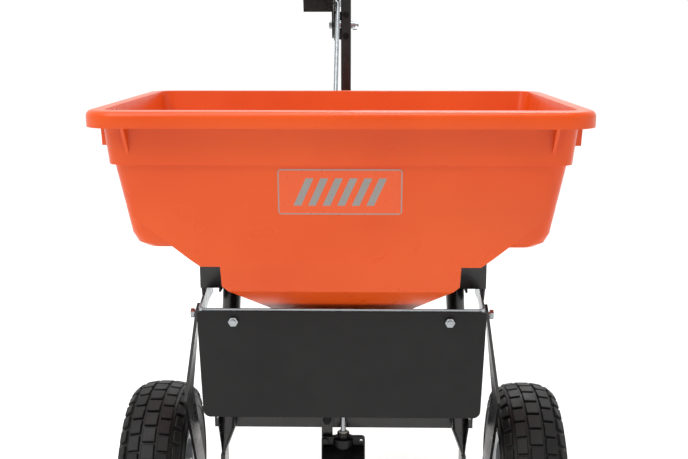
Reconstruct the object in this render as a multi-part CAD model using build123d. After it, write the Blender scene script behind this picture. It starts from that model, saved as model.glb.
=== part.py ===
from build123d import *
import math
import os

# Tow-behind broadcast spreader. Millimetres, +Z up, +X right seen from behind, +Y forward to the tractor.
# The origin is on the ground, at the middle of the whole machine.

# ---- driving dimensions -------------------------------------------------------------------------
axle_y = -330.0
tyre_radius = 133.0
tyre_width = 90.0
wheel_x = 262.0
axle_radius = 7.9375
axle_end_x = 315.0
rim_half_x = 291.0
rim_half_y = 199.0
rim_top = 679.0
rim_lip = 19.0
wall = 3.5
sheet = 3.0
hopper_y = axle_y - 42.0
floor_z = 385.0
shelf_z = 489.5
leg_radius = 12.7
leg_foot_x = 172.9
leg_lean = 0.0594
shield_y = hopper_y - 83.0
shield_half_x = 185.0
shield_top = 416.0
shield_bottom = 273.0
strap_top = 419.0
strap_depth = 25.0
shaft_radius = 3.97
impeller_radius = 110.0
impeller_z = 294.0
gate_travel = 39.5
outlet_half_x = 35.0
outlet_length = 30.0
drawbar_width = 32.0
drawbar_low = 230.0
hitch_y = axle_y + 878.0
hitch_hole_radius = 8.25
upright_x = -5.0
upright_width = 19.05
pivot_y = axle_y + 560.0
pivot_z = 778.0
lever_tilt = 26.0
lever_rod_radius = 45.0
stand_y = axle_y + 700.0
stand_pivot_z = 209.0
gear_teeth = 40
pinion_teeth = 10
gear_module = 2.0
bolt_radius = 3.175
bolt_across = 11.1

axle_z = tyre_radius
drawbar_top = drawbar_low + drawbar_width
saved = {}


# ---- shapes used by many pieces -----------------------------------------------------------------
def block(x, y, z):
    """Box filling three (low, high) spans."""
    size = [high - low for low, high in (x, y, z)]
    centre = [(high + low) / 2 for low, high in (x, y, z)]
    return Pos(*centre) * Box(*size)


def along(axis, span, at):
    """Place that turns a piece made along Z to lie along an axis, centred on a span."""
    middle = (span[0] + span[1]) / 2
    if axis == "X":
        return Pos(middle, at[0], at[1]) * Rot(0, 90, 0)
    if axis == "Y":
        return Pos(at[0], middle, at[1]) * Rot(-90, 0, 0)
    return Pos(at[0], at[1], middle)


def rod(axis, radius, span, at):
    """Round bar along an axis; at holds the other two coordinates."""
    return along(axis, span, at) * Cylinder(radius, span[1] - span[0])


def ring(axis, outer, inner, span, at):
    """Washer, bush or sleeve along an axis."""
    return rod(axis, outer, span, at) - rod(axis, inner, (span[0] - 1, span[1] + 1), at)


def hexagon(axis, across, span, at):
    """Hexagonal bar along an axis."""
    length = span[1] - span[0]
    bar = extrude(RegularPolygon(across / math.sqrt(3), 6), length)
    return along(axis, span, at) * Pos(0, 0, -length / 2) * bar


def plate_x(x, points):
    """Flat plate across X, from its outline in (y, z)."""
    outline = make_face(Polyline(*points, close=True))
    return extrude(Plane(origin=(x[0], 0, 0), x_dir=(0, 1, 0), z_dir=(1, 0, 0)) * outline, x[1] - x[0])


def plate_y(y, points):
    """Flat plate across Y, from its outline in (x, z)."""
    outline = make_face(Polyline(*points, close=True))
    return extrude(Plane(origin=(0, y[0], 0), x_dir=(1, 0, 0), z_dir=(0, -1, 0)) * outline, y[0] - y[1])


def plate_z(z, points):
    """Flat plate across Z, from its outline in (x, y)."""
    outline = make_face(Polyline(*points, close=True))
    return extrude(Pos(0, 0, z[0]) * outline, z[1] - z[0])


def turned(profile, x=0.0):
    """Piece turned about the axle line from its outline in (offset along X, radius)."""
    outline = make_face(Polyline(*[(offset, radius) for offset, radius in profile], close=True))
    return Pos(x, axle_y, axle_z) * revolve(outline, Axis.X, 360)


def mirrored(shape):
    """The same piece for the other side of the machine."""
    return mirror(shape, about=Plane.YZ)


def bolt_and_nut(axis, at, grip, flip=False, radius=bolt_radius, across=bolt_across):
    """Hex bolt and its nut clamping a span; the head is at the low end unless flipped."""
    head = 0.65 * across * 0.62
    nut = 0.5 * across
    low, high = grip
    if flip:
        shank = rod(axis, radius, (low - nut - 2, high), at)
        bolt = shank + hexagon(axis, across, (high, high + head), at)
        nut_span = (low - nut, low)
    else:
        shank = rod(axis, radius, (low, high + nut + 2), at)
        bolt = shank + hexagon(axis, across, (low - head, low), at)
        nut_span = (high, high + nut)
    nut_body = hexagon(axis, across, nut_span, at)
    return [bolt, nut_body - rod(axis, radius + 0.03, (nut_span[0] - 1, nut_span[1] + 1), at)]


def drill(shape, axis, radius, span, places):
    """Holes through a piece at several places."""
    for at in places:
        shape = shape - rod(axis, radius, span, at)
    return shape


def save(name, shape):
    """Write one named piece, or one group of like pieces, to its own file."""
    solids = []
    for item in shape if isinstance(shape, list) else [shape]:
        solids.extend(item.solids())
    body = solids[0] if len(solids) == 1 else Compound(children=solids)
    saved[name] = body
    export_step(body, f"parts/{name}.step")


os.makedirs("parts", exist_ok=True)


# ---- hopper -------------------------------------------------------------------------------------
def hopper_ring(half_x, half_y, corner, z):
    """One level outline of the hopper body."""
    return Pos(0, hopper_y, z) * RectangleRounded(2 * half_x, 2 * half_y, corner)


def hopper_body(inset):
    """Upper band and tub of the hopper, drawn in by the wall for the inside."""
    levels = [(274.5, 179.0, 685.0), (268.0, 172.0, 616.0 + inset)]
    band = loft([hopper_ring(x - inset, y - inset, 18 - inset / 2, z) for x, y, z in levels])
    levels = [(263.0, 167.0, 616.0 + inset), (250.5, 147.0, 530.0), (245.0, 142.5, 518.0),
        (236.0, 135.0, 512.0 + inset)]
    tub = loft([hopper_ring(x - inset, y - inset, 18 - inset / 2, z) for x, y, z in levels], ruled=True)
    return band + tub


def funnel(inset):
    """Funnel below the tub: straight-sided across both ways, notched for the side rails."""
    side = [(244, 614), (244, 553), (168, shelf_z), (144.5, shelf_z), (144.5, 462), (92, 412),
        (50, floor_z)]
    across = make_face(Polyline(*side, *[(-x, z) for x, z in reversed(side)], close=True))
    rear = [(-166.5, 614), (-150, 500), (-131, 455), (-10, floor_z)]
    front = [(102, floor_z), (137, 455), (150, 500), (166.5, 614)]
    depth = make_face(Polyline(*rear, *front, close=True))
    if inset:
        across = offset(across, -inset, kind=Kind.INTERSECTION)
        depth = offset(depth, -inset, kind=Kind.INTERSECTION)
    wide = Plane(origin=(0, hopper_y + 300, 0), x_dir=(1, 0, 0), z_dir=(0, -1, 0))
    deep = Plane(origin=(-300, hopper_y, 0), x_dir=(0, 1, 0), z_dir=(1, 0, 0))
    return extrude(wide * across, 600) & extrude(deep * depth, 600)


def hopper():
    """Moulded hopper: rim, stepped tub and funnel, one wall thick, open at the top."""
    lip = extrude(hopper_ring(rim_half_x, rim_half_y, 40, rim_top - rim_lip), rim_lip)
    lip = fillet(lip.faces().sort_by(Axis.Z)[-1].edges(), 7)
    channel = extrude(hopper_ring(rim_half_x - wall, rim_half_y - wall, 40 - wall,
        rim_top - rim_lip - 1), rim_lip - wall + 1)
    channel = fillet(channel.faces().sort_by(Axis.Z)[-1].edges(), 3.5)
    shell = hopper_body(0) + funnel(0)
    shell = shell & block((-400, 400), (hopper_y - 300, hopper_y + 300), (0, rim_top))
    shell = shell + (lip - channel)
    for side in (-1, 1):
        for end in (-1, 1):
            rib = [(end * 171 + hopper_y, 676), (end * 196 + hopper_y, 676),
                (end * 196 + hopper_y, 661), (end * 171 + hopper_y, 626)]
            shell = shell + plate_x((side * 243 - 2, side * 243 + 2), rib)
            rib = [(side * 264, 676), (side * 287, 676), (side * 285, 633), (side * 264, 633)]
            shell = shell + plate_y((hopper_y + end * 120 - 2, hopper_y + end * 120 + 2), rib)
    shell = shell - hopper_body(wall) - funnel(wall)
    shell = shell - block((-250, 250), (hopper_y - 150, hopper_y + 150), (600, 622))
    shell = shell - rod("Z", 8.0, (floor_z - 5, floor_z + 10), (0, axle_y))
    outlet = block((-outlet_half_x, outlet_half_x), (axle_y + 22, axle_y + 22 + outlet_length),
        (floor_z - 5, floor_z + 10))
    shell = shell - outlet
    shell = drill(shell, "Z", 3.4, (shelf_z - 5, shelf_z + 8), rail_bolt_places)
    return drill(shell, "Z", 2.7, (floor_z - 5, floor_z + 8), guide_rivet_places)


rail_bolt_places = [(side * 158.0, axle_y + y) for side in (-1, 1) for y in (-12.0, 92.0)]
guide_rivet_places = [(side * 43.5, axle_y + y) for side in (-1, 1) for y in (-30.0, 37.0)]
hopper_solid = hopper()
save("hopper", hopper_solid)


# ---- frame --------------------------------------------------------------------------------------
def leg_x(z):
    """Middle of the right leg tube at a height."""
    return leg_foot_x - leg_lean * (z - axle_z)


def leg():
    """Leg tube leaning in to the hopper, with its lower end pressed flat around the axle bush."""
    low, high = 205.0, 452.0
    foot_top = 168.0
    lean = Vector(leg_x(high) - leg_x(low), 0, high - low)
    tube_plane = Plane(origin=(leg_x(low), axle_y, low), x_dir=(0, 1, 0), z_dir=lean)
    tube = extrude(tube_plane * Circle(leg_radius), lean.length)
    bore = extrude(tube_plane * Circle(leg_radius - 1.6), lean.length + 1)
    neck_foot = Plane(origin=(leg_foot_x, axle_y, foot_top), x_dir=(0, 1, 0), z_dir=(0, 0, 1))
    neck = loft([neck_foot * Ellipse(19, 3.2), tube_plane * Ellipse(leg_radius, leg_radius)])
    foot_plane = Plane(origin=(leg_foot_x - 3.2, axle_y, axle_z), x_dir=(0, 1, 0), z_dir=(1, 0, 0))
    foot = extrude(foot_plane * (Circle(19) + Pos(0, 18) * Rectangle(38, 36)), 6.4)
    body = (tube - bore) + neck + foot
    body = body - rod("X", 11.0, (leg_foot_x - 10, leg_foot_x + 10), (axle_y, axle_z))
    return body - rod("X", 3.3, (leg_x(432) - 20, leg_x(432) + 20), (axle_y, 432))


def side_rail():
    """Folded side rail: web under the hopper shelf, outer flange, and a lug down to the leg."""
    web = block((146, 196), (axle_y - 30, axle_y + 118), (shelf_z - sheet, shelf_z))
    outline = [(axle_y - 30, shelf_z), (axle_y - 30, 438), (axle_y - 14, 400), (axle_y + 118, 400),
        (axle_y + 118, shelf_z)]
    flange = plate_x((193, 196), outline)
    reach = leg_radius / math.cos(math.atan(leg_lean)) + 0.2
    lug = [(leg_x(z) + reach, z) for z in (412, shelf_z)]
    lug = plate_y((axle_y - 20, axle_y + 20), lug + [(x + sheet, z) for x, z in reversed(lug)])
    rear = block((146, 196), (axle_y - 30, axle_y - 27), (420.5, shelf_z))
    body = web + flange + lug + rear
    body = drill(body, "Z", 3.4, (shelf_z - 8, shelf_z + 8), rail_bolt_places)
    body = drill(body, "X", 3.4, (150, 200), [(axle_y, 432)])
    return drill(body, "X", 3.4, (188, 200), [(axle_y + 33, 410), (axle_y + 104, 466)])


save("right_rail", side_rail())
save("left_rail", mirrored(side_rail()))
save("right_leg", leg())
save("left_leg", mirrored(leg()))

brace_front = axle_y + 118.0
upper_brace = block((-193, 193), (brace_front - sheet, brace_front), (452, 480))
for side in (-1, 1):
    tab = sorted((side * 190, side * 193))
    upper_brace = upper_brace + block(tab, (brace_front - 26, brace_front), (452, 480))
save("upper_cross_brace", drill(upper_brace, "X", 3.4, (-200, 200), [(axle_y + 104, 466)]))

member_back = axle_y + 14.5
member_low, member_high = 198.0, drawbar_low
member = block((-188.5, 188.5), (member_back, member_back + 26), (member_low, member_high))
member = member - block((-185.5, 185.5), (member_back + sheet, member_back + 30),
    (member_low + sheet, member_high - sheet))
for side in (-1, 1):
    slot = sorted((side * 181, side * 185.5))
    member = member - block(slot, (member_back - 1, member_back + 30),
        (member_low + sheet, member_high + 1))
member = drill(member, "Z", 3.4, (member_high - 8, member_high + 4), [(0, axle_y + 27)])
save("cross_member", drill(member, "Y", 3.4, (member_back - 2, member_back + 8), [(-23.5, 214)]))

gusset_back = member_back + 26.0
gusset = plate_z((member_high - sheet, member_high), [(-150, gusset_back), (150, gusset_back),
    (20, gusset_back + 140), (-20, gusset_back + 140)])
for side in (-1, 1):
    window = [(side * 24, gusset_back + 24), (side * 98, gusset_back + 24),
        (side * 24, gusset_back + 102)]
    gusset = gusset - plate_z((member_high - 10, member_high + 10), window)
save("frame_gusset", drill(gusset, "Z", 3.4, (member_high - 8, member_high + 8),
    [(0, gusset_back + 122)]))

hanger = block((-31.5, -15.5), (axle_y + 4, axle_y + 8), (axle_z + 47, 226)) + block((-31.5, -15.5),
    (axle_y + 8, member_back), (200, 226))
hanger = drill(hanger, "Y", 3.4, (axle_y, member_back + 4), [(-23.5, 214)])
hanger = drill(hanger, "Y", 2.7, (axle_y, member_back + 4), [(-26, axle_z + 52)])
save("gearbox_hanger", hanger)


# ---- deflector plate, its strap and the flat braces ---------------------------------------------
def shield():
    """Plate behind the impeller, with its lower corners rounded."""
    half = shield_half_x
    outline = [(-half, shield_top), (half, shield_top), (half - 5, shield_bottom),
        (-half + 5, shield_bottom)]
    body = plate_y((shield_y - sheet, shield_y), outline)
    corners = body.edges().filter_by(Axis.Y).sort_by(Axis.Z)
    body = fillet(corners[:2], 10)
    body = fillet(body.edges().filter_by(Axis.Y).sort_by(Axis.Z)[-2:], 4)
    return drill(body, "Y", 3.4, (shield_y - 10, shield_y + 5), shield_bolt_places)


shield_bolt_places = [(side * 138.0, 403.5) for side in (-1, 1)]
save("shield", shield())

strap_low = strap_top - strap_depth
arm_points = [(0, shield_y + 1.5), (shield_half_x - 3, shield_y + 1.5), (191.5, axle_y + 10),
    (191.5, axle_y + 45)]
strap_line = FilletPolyline(*[(-x, y) for x, y in reversed(arm_points[1:])], *arm_points[1:], radius=9)
strap = extrude(Pos(0, 0, strap_low) * trace(strap_line, sheet), strap_depth)
strap = drill(strap, "Y", 3.4, (shield_y - 10, shield_y + 10), shield_bolt_places)
strap = drill(strap, "X", 3.4, (-200, 200), [(axle_y + 33, 410), (shield_y + 24, 406)])
save("shield_strap", strap)


def side_brace():
    """Flat bar from the strap's corner down past the tyre to the axle, with a cranked middle."""
    path = [(187.6, shield_y + 24, 415), (205.0, shield_y + 30, 290), (207.0, axle_y, axle_z)]
    sections = []
    for index, point in enumerate(path):
        before = Vector(*path[max(index - 1, 0)])
        after = Vector(*path[min(index + 1, 2)])
        run = (after - before).normalized()
        across = Vector(1, -0.07 if index == 0 else 0.2, 0)
        width_way = run.cross(across).normalized()
        sections.append(Plane(origin=point, x_dir=width_way, z_dir=run) * Rectangle(27, 4))
    bar = loft(sections, ruled=True)
    bar = bar + rod("X", 18, (204.5, 209.5), (axle_y, axle_z))
    bar = bar - rod("X", 8.6, (195, 220), (axle_y, axle_z))
    return bar - rod("X", 3.4, (175, 200), (shield_y + 24, 406))


save("right_brace", side_brace())
save("left_brace", mirrored(side_brace()))


# ---- axle and its bushes ------------------------------------------------------------------------
axle = rod("X", axle_radius, (-axle_end_x, axle_end_x), (axle_y, axle_z))
axle = chamfer(axle.edges().filter_by(GeomType.CIRCLE), 1.2)
for x in (-309.0, 309.0, wheel_x + 31.0):
    axle = axle - rod("Z", 2.1 if abs(x) > 300 else 3.3, (axle_z - 20, axle_z + 20), (x, axle_y))
axle = axle - rod("Z", 2.6, (axle_z - 20, axle_z + 20), (27.0, axle_y))
save("axle", axle)


def leg_bush():
    """Flanged bush pressed in the flattened foot of a leg."""
    body = ring("X", 10.95, axle_radius + 0.06, (leg_foot_x - 4.2, leg_foot_x + 3.2), (axle_y, axle_z))
    return body + ring("X", 15, axle_radius + 0.06, (leg_foot_x + 3.2, leg_foot_x + 6.2),
        (axle_y, axle_z))


save("axle_bushes", [leg_bush(), mirrored(leg_bush())])
axle_collar = ring("X", 13, axle_radius, (leg_foot_x - 14.5, leg_foot_x - 4.7), (axle_y, axle_z))


# ---- gearbox ------------------------------------------------------------------------------------
drum_outer, drum_inner = 46.0, 42.6
drum_half, cavity_half = 29.5, 25.5
boss_end = 42.0
flange_half, flange_reach = 31.5, 58.0
ear_x, ear_z = 26.0, 52.0


ear_places = [(x, axle_z + z) for x in (-ear_x, ear_x) for z in (-ear_z, ear_z)]


def gearbox_half(side):
    """One cast half of the gearbox, split on the axle's upright plane; side -1 is the rear half."""
    span = (axle_y - 60, axle_y) if side < 0 else (axle_y, axle_y + 60)
    drum = rod("X", drum_outer, (-drum_half, drum_half), (axle_y, axle_z))
    bosses = rod("X", 14, (-boss_end, boss_end), (axle_y, axle_z))
    flange = block((-flange_half, flange_half), (axle_y - 4, axle_y + 4),
        (axle_z - flange_reach, axle_z + flange_reach))
    flange = fillet(flange.edges().filter_by(Axis.Y), 5)
    neck = rod("Z", 15, (axle_z + 30, axle_z + 56), (0, axle_y))
    collar = rod("Z", 8.75, (axle_z + 56, axle_z + 64), (0, axle_y))
    body = drum + bosses + flange + neck + collar
    body = body - rod("X", drum_inner, (-cavity_half, cavity_half), (axle_y, axle_z))
    body = body - rod("X", 11, (-60, 60), (axle_y, axle_z))
    body = body - rod("Z", 6.5, (axle_z + 20, axle_z + 70), (0, axle_y))
    body = drill(body, "Y", 2.7, (axle_y - 20, axle_y + 20), ear_places)
    return body & block((-80, 80), span, (0, 300))


save("gearbox_rear", gearbox_half(-1))
save("gearbox_front", gearbox_half(1))
axle_sleeve = ring("X", 10.95, axle_radius + 0.06, (cavity_half, boss_end), (axle_y, axle_z))
shaft_sleeve = ring("Z", 6.45, shaft_radius + 0.06, (axle_z + 44, axle_z + 66), (0, axle_y))
save("gearbox_bushes", [axle_sleeve, mirrored(axle_sleeve), shaft_sleeve])


def bevel_tooth(radius, share):
    """One tooth along the pitch cone line, as a tapered bar pointing along +X, apex at the origin."""
    sections = []
    for scale in (1.0, 0.7):
        reach = radius * scale
        pitch = math.pi * gear_module * scale
        tip, root = -0.8 * gear_module * scale, 1.1 * gear_module * scale
        outline = [(-share * pitch * 0.62, root), (share * pitch * 0.62, root),
            (share * pitch * 0.3, tip), (-share * pitch * 0.3, tip)]
        sections.append(Plane(origin=(reach, 0, 0), x_dir=(0, 1, 0),
            z_dir=(1, 0, 0)) * make_face(Polyline(*outline, close=True)))
    return loft(sections, ruled=True)


def bevel(teeth, mate_teeth):
    """Bevel gear about +Z with its apex at the origin and its teeth up the cone, opening upwards."""
    pitch_radius = gear_module * teeth / 2
    mate_radius = gear_module * mate_teeth / 2
    slope = math.degrees(math.atan2(mate_radius, pitch_radius))
    cone = math.hypot(pitch_radius, mate_radius)
    tooth = bevel_tooth(cone, 0.42)
    leaned = Rot(0, -slope, 0) * tooth
    return [Rot(0, 0, 360 * index / teeth) * leaned for index in range(teeth)]


def drive_gear():
    """Large bevel gear pinned to the axle; a tooth gap faces up."""
    back = 20.0
    points = [(11, back), (36, back), (40.6, 15.5), (40.6, 12.2), (27.0, 8.15), (27.0, 9.6), (11, 9.6)]
    outline = make_face(Polyline(*points, close=True))
    blank = revolve(Plane.XZ * outline, Axis.Z, 360)
    blank = blank + ring("Z", 14, axle_radius, (9.6, 24.8), (0, 0))
    blank = blank - Pos(0, 0, 15) * Cylinder(axle_radius, 60)
    half_pitch = 180 / gear_teeth
    for tooth in bevel(gear_teeth, pinion_teeth):
        blank = blank + Rot(0, 0, half_pitch) * tooth
    return Pos(0, axle_y, axle_z) * Rot(0, 90, 0) * blank


def pinion():
    """Small bevel gear on the impeller shaft; a tooth faces the large gear."""
    points = [(0, 27), (5.35, 27), (8.1, 40.4), (6.2, 41.6), (0, 41.6)]
    blank = revolve(Plane.XZ * make_face(Polyline(*points, close=True)), Axis.Z, 360)
    for tooth in bevel(pinion_teeth, gear_teeth):
        blank = blank + tooth
    blank = blank - Cylinder(shaft_radius, 200)
    return Pos(0, axle_y, axle_z) * blank


save("bevel_gear", drive_gear())
save("bevel_pinion", pinion())
gearbox_bolts = []
for x, z in ear_places:
    if x > 0 and z > axle_z:
        continue
    reach = 8 if x < 0 and z > axle_z else 4
    gearbox_bolts.extend(bolt_and_nut("Y", (x, z), (axle_y - 4, axle_y + reach), radius=2.5, across=8))
save("gearbox_bolts", gearbox_bolts)


# ---- impeller shaft, impeller and agitator ------------------------------------------------------
shaft_low = axle_z + 22.0
shaft_high = 425.0
shaft = rod("Z", shaft_radius, (shaft_low, shaft_high), (0, axle_y))
shaft = shaft - rod("X", 1.6, (-10, 10), (axle_y, 286.0)) - rod("X", 1.6, (-10, 10), (axle_y, 412.0))
save("impeller_shaft", shaft)


def impeller():
    """Spinning disc with four raised vanes and a pinned hub."""
    disc = rod("Z", impeller_radius, (impeller_z, impeller_z + 2.5), (0, axle_y))
    disc = disc + rod("Z", 16, (impeller_z - 16, impeller_z + 18), (0, axle_y))
    lip = ring("Z", impeller_radius, impeller_radius - 2.5, (impeller_z - 5, impeller_z), (0, axle_y))
    disc = disc + lip
    for index in range(4):
        vane = block((10, impeller_radius - 2), (-1.5, 1.5), (impeller_z, impeller_z + 26))
        foot = block((24, impeller_radius - 2), (0, 14), (impeller_z, impeller_z + 4.5))
        disc = disc + Pos(0, axle_y, 0) * Rot(0, 0, 45 + 90 * index) * (vane + foot)
    disc = disc - rod("Z", shaft_radius, (impeller_z - 30, impeller_z + 40), (0, axle_y))
    return disc - rod("X", 1.6, (-20, 20), (axle_y, 286.0))


save("impeller", impeller())
shaft_pins = [rod("X", 1.58, (-17.5, 17.5), (axle_y, 286.0)), rod("X", 1.58, (-9, 9), (axle_y, 412.0))]
save("shaft_pins", shaft_pins)
agitator = rod("Z", 8, (402, 422), (0, axle_y))
for side in (-1, 1):
    arm = Pos(0, axle_y, 411) * Rot(0, 0, 20) * Pos(side * 24, 0, 0) * Rot(0, 90, 0) * Cylinder(2.5, 36)
    tip = Pos(0, axle_y, 411) * Rot(0, 0, 20) * Pos(side * 40.5, 0, 9) * Cylinder(2.5, 23)
    agitator = agitator + arm + tip
agitator = agitator - rod("Z", shaft_radius, (395, 430), (0, axle_y)) - rod("X", 1.6, (-12, 12),
    (axle_y, 412.0))
save("agitator", agitator)
floor_bush = ring("Z", 7.95, shaft_radius + 0.06, (floor_z - 0.2, 398), (0, axle_y))
floor_bush = floor_bush + ring("Z", 13, shaft_radius + 0.06, (floor_z + wall, floor_z + wall + 2.5),
    (0, axle_y))
save("hopper_shaft_bush", floor_bush)


# ---- flow gate and its control rod --------------------------------------------------------------
gate_low, gate_high = 378.6, 381.6
gate = block((-50, 50), (axle_y - 60, axle_y + 75), (gate_low, gate_high))
gate = gate + block((-30, -8), (axle_y + 74, axle_y + 98), (gate_low, gate_high))
gate = gate + block((-14, -11), (axle_y + 78, axle_y + 98), (gate_low, 403))
gate = gate - block((-outlet_half_x, outlet_half_x), (axle_y - 17.5, axle_y + 12.5),
    (gate_low - 5, gate_high + 5))
slot = block((-6, 6), (axle_y - gate_travel, axle_y - 15), (gate_low - 5, gate_high + 5))
slot = slot + rod("Z", 6, (gate_low - 5, gate_high + 5), (0, axle_y - gate_travel))
gate = gate - slot - rod("X", 4.0, (-20, 0), (axle_y + 90, 394))
save("flow_gate", gate)


def gate_guide():
    """Folded channel under the hopper floor that one edge of the gate slides in."""
    length = (axle_y - 52, axle_y + 58)
    body = block((50.4, 53.4), length, (gate_low - 3.4, floor_z))
    body = body + block((40, 53.4), length, (gate_low - 3.4, gate_low - 0.4))
    body = body + block((40, 53.4), length, (gate_high + 0.4, floor_z))
    return drill(body, "Z", 2.55, (gate_high, floor_z + 5), guide_rivet_places)


save("gate_guides", [gate_guide(), mirrored(gate_guide())])
rivets = []
for place in guide_rivet_places:
    rivet = rod("Z", 2.5, (gate_high + 0.5, floor_z + wall), place)
    rivets.append(rivet + rod("Z", 4.5, (floor_z + wall, floor_z + wall + 2), place))

rod_radius = 3.97
lean = math.radians(lever_tilt)
rod_top = (pivot_y - lever_rod_radius * math.sin(lean), pivot_z + lever_rod_radius * math.cos(lean))
rod_x = -20.0
rod_path = FilletPolyline(
    (-6.0, axle_y + 90, 394),
    (rod_x, axle_y + 90, 394),
    (rod_x, rod_top[0], rod_top[1]),
    (-42.0, rod_top[0], rod_top[1]),
    radius=[6.0, 6.0],
)
control_rod = sweep(Plane(origin=rod_path @ 0, z_dir=rod_path % 0) * Circle(rod_radius), rod_path)
control_rod = control_rod - rod("Z", 1.3, (rod_top[1] - 10, rod_top[1] + 10), (-38.5, rod_top[0]))
control_rod = control_rod - rod("Z", 1.3, (380, 410), (-8.5, axle_y + 90))
save("control_rod", control_rod)


# ---- drawbar and hitch --------------------------------------------------------------------------
drawbar_back, drawbar_front = axle_y + 16.0, axle_y + 846.0
half_bar = drawbar_width / 2
base_bolt_ys = (pivot_y - 27, pivot_y + 27)
frame_bolt_ys = (axle_y + 27, gusset_back + 122)
hitch_bolt_ys = (axle_y + 795, axle_y + 828)
stand_bolt_ys = (stand_y - 22, stand_y + 22)
pin_park_y = axle_y + 752.0
bar_bolt_places = [(0, y) for y in (*frame_bolt_ys, *base_bolt_ys, *hitch_bolt_ys, *stand_bolt_ys)]
drawbar = block((-half_bar, half_bar), (drawbar_back, drawbar_front), (drawbar_low, drawbar_top))
drawbar = fillet(drawbar.edges().filter_by(Axis.Y), 3)
inside = block((-half_bar + 2.5, half_bar - 2.5), (drawbar_back - 1, drawbar_front + 1),
    (drawbar_low + 2.5, drawbar_top - 2.5))
drawbar = drill(drawbar - inside, "Z", 3.4, (drawbar_low - 5, drawbar_top + 5), bar_bolt_places)
save("drawbar", drawbar - rod("Z", 6.8, (drawbar_low - 5, drawbar_top + 5), (0, pin_park_y)))
plug = block((-half_bar, half_bar), (drawbar_back - 3, drawbar_back), (drawbar_low + 0.5, drawbar_top))
core = block((-half_bar + 2.7, half_bar - 2.7), (drawbar_back, drawbar_back + 9),
    (drawbar_low + 2.7, drawbar_top - 2.7))
drawbar_cap = fillet(plug.edges().filter_by(Axis.Y), 3) + (core - rod("Z", 3.6, (200, 300),
    (0, axle_y + 27)))


def hitch_clevis():
    """Welded fork: two ears over and under the drawbar, with a web closing its end."""
    web = block((-16, 16), (drawbar_front, drawbar_front + 5), (drawbar_low, drawbar_top))
    body = web
    for low in (drawbar_low - 6, drawbar_top):
        ear = block((-22, 22), (axle_y + 780, hitch_y), (low, low + 6)) + rod("Z", 22, (low, low + 6),
            (0, hitch_y))
        body = body + ear
    body = drill(body, "Z", 3.4, (drawbar_low - 10, drawbar_top + 10), [(0, y) for y in hitch_bolt_ys])
    return body - rod("Z", hitch_hole_radius, (drawbar_low - 10, drawbar_top + 10), (0, hitch_y))


save("hitch_clevis", hitch_clevis())
pin = rod("Z", 6.35, (drawbar_low - 24, drawbar_top + 6), (0, pin_park_y)) + rod("Z", 11,
    (drawbar_top, drawbar_top + 5), (0, pin_park_y))
pin_loop = FilletPolyline((0, pin_park_y, drawbar_top + 3), (0, pin_park_y, drawbar_top + 34),
    (28, pin_park_y, drawbar_top + 34), radius=10)
pin = pin + sweep(Plane(origin=pin_loop @ 0, z_dir=pin_loop % 0) * Circle(5), pin_loop)
save("hitch_pin", pin - rod("X", 1.7, (-20, 20), (pin_park_y, drawbar_low - 13)))
clip_line = FilletPolyline((-20, 0), (14, 0), (22, 5), (14, 10), (6, 8), (-4, 10.5), (-20, 8),
    radius=2.5)
clip = sweep(Plane(origin=clip_line @ 0, z_dir=clip_line % 0) * Circle(1.35), clip_line)
save("hair_pin", Pos(0, pin_park_y, drawbar_low - 13) * clip)

# ---- parking stand ------------------------------------------------------------------------------
stand_bracket = block((-13, 13), (stand_y - 32, stand_y + 32), (drawbar_low - 3, drawbar_low))
for side in (-1, 1):
    cheek = [(stand_y - 20, drawbar_low), (stand_y + 20, drawbar_low),
        (stand_y + 10, stand_pivot_z - 11), (stand_y - 10, stand_pivot_z - 11)]
    stand_bracket = stand_bracket + plate_x(tuple(sorted((side * 10, side * 13))), cheek)
stand_bracket = stand_bracket - rod("X", 4.06, (-20, 20), (stand_y, stand_pivot_z))
save("stand_bracket", drill(stand_bracket, "Z", 3.4, (drawbar_low - 8, drawbar_low + 4),
    [(0, y) for y in stand_bolt_ys]))
stand = block((-9.5, 9.5), (stand_y - 9.5, stand_y + 9.5), (3, stand_pivot_z)) + rod("X", 9.5,
    (-9.5, 9.5), (stand_y, stand_pivot_z))
stand = stand - block((-7.5, 7.5), (stand_y - 7.5, stand_y + 7.5), (6, stand_pivot_z - 16))
foot = fillet(block((-32, 32), (stand_y - 17, stand_y + 30), (0, 4)).edges().filter_by(Axis.Z), 6)
save("parking_stand", stand + foot - rod("X", 4.06, (-20, 20), (stand_y, stand_pivot_z)))
stand_bolt = rod("X", 4.0, (-13, 20), (stand_y, stand_pivot_z)) + hexagon("X", 13, (-18, -13),
    (stand_y, stand_pivot_z))
stand_nut = hexagon("X", 13, (13, 19), (stand_y, stand_pivot_z)) - rod("X", 4.02, (12, 20),
    (stand_y, stand_pivot_z))

# ---- control post, lever and flow stop ----------------------------------------------------------
half_post = upright_width / 2
post_top = 866.0
post = block((upright_x - half_post, upright_x + half_post), (pivot_y - half_post, pivot_y + half_post),
    (drawbar_top + 0.2, post_top))
post = fillet(post.edges().filter_by(Axis.Z), 2.5)
hollow = half_post - 1.6
post = post - block((upright_x - hollow, upright_x + hollow), (pivot_y - hollow, pivot_y + hollow),
    (drawbar_top, post_top + 1))
post = post - rod("X", 4.1, (-30, 30), (pivot_y, pivot_z))
post = drill(post, "Y", 3.4, (pivot_y - 15, pivot_y + 15), [(upright_x, 757), (upright_x, 796)])
save("control_post", drill(post, "X", 3.4, (-30, 30), [(pivot_y, drawbar_top + 24)]))
cap = block((upright_x - half_post, upright_x + half_post), (pivot_y - half_post, pivot_y + half_post),
    (post_top, post_top + 4))
cap_core = block((upright_x - hollow, upright_x + hollow), (pivot_y - hollow, pivot_y + hollow),
    (post_top - 10, post_top))
save("tube_caps", [drawbar_cap, fillet(cap.edges().filter_by(Axis.Z), 2.5) + cap_core])
base = block((-30, 20), (pivot_y - 40, pivot_y + 40), (drawbar_top, drawbar_top + 4))
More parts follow.
